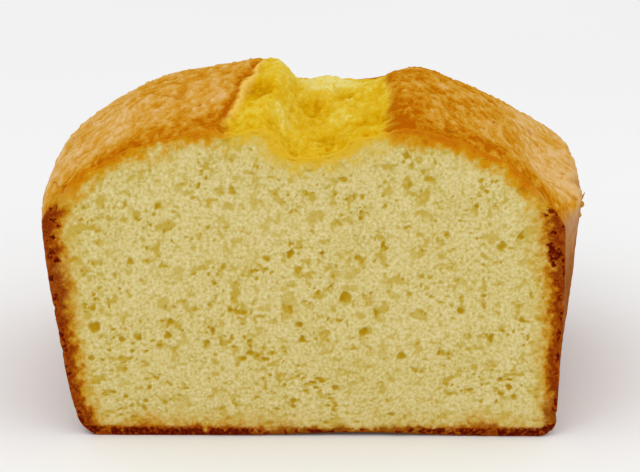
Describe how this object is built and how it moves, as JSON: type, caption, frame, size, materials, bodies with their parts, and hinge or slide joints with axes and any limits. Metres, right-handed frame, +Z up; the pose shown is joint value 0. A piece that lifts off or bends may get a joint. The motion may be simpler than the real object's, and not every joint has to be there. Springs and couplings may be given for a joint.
{
  "type": "pound cake loaf",
  "caption": "Half of a golden pound cake loaf, cut square across, with pale open crumb on the cut, browned pan sides and a domed crown split along its length.",
  "frame": {"origin": "on the surface the loaf rests on, under the middle of its bounding box", "axes": "+X across the loaf to the right as the cut is looked at, +Y from the cut towards the far end, +Z up"},
  "size_m": [0.1182, 0.108, 0.072],
  "materials": {
    "baked_cake": "matte, open-crumbed on the cut and sandy on the browned crust"
  },
  "bodies": {
    "root": {"loaf": "baked_cake"}
  },
  "joints": []
}
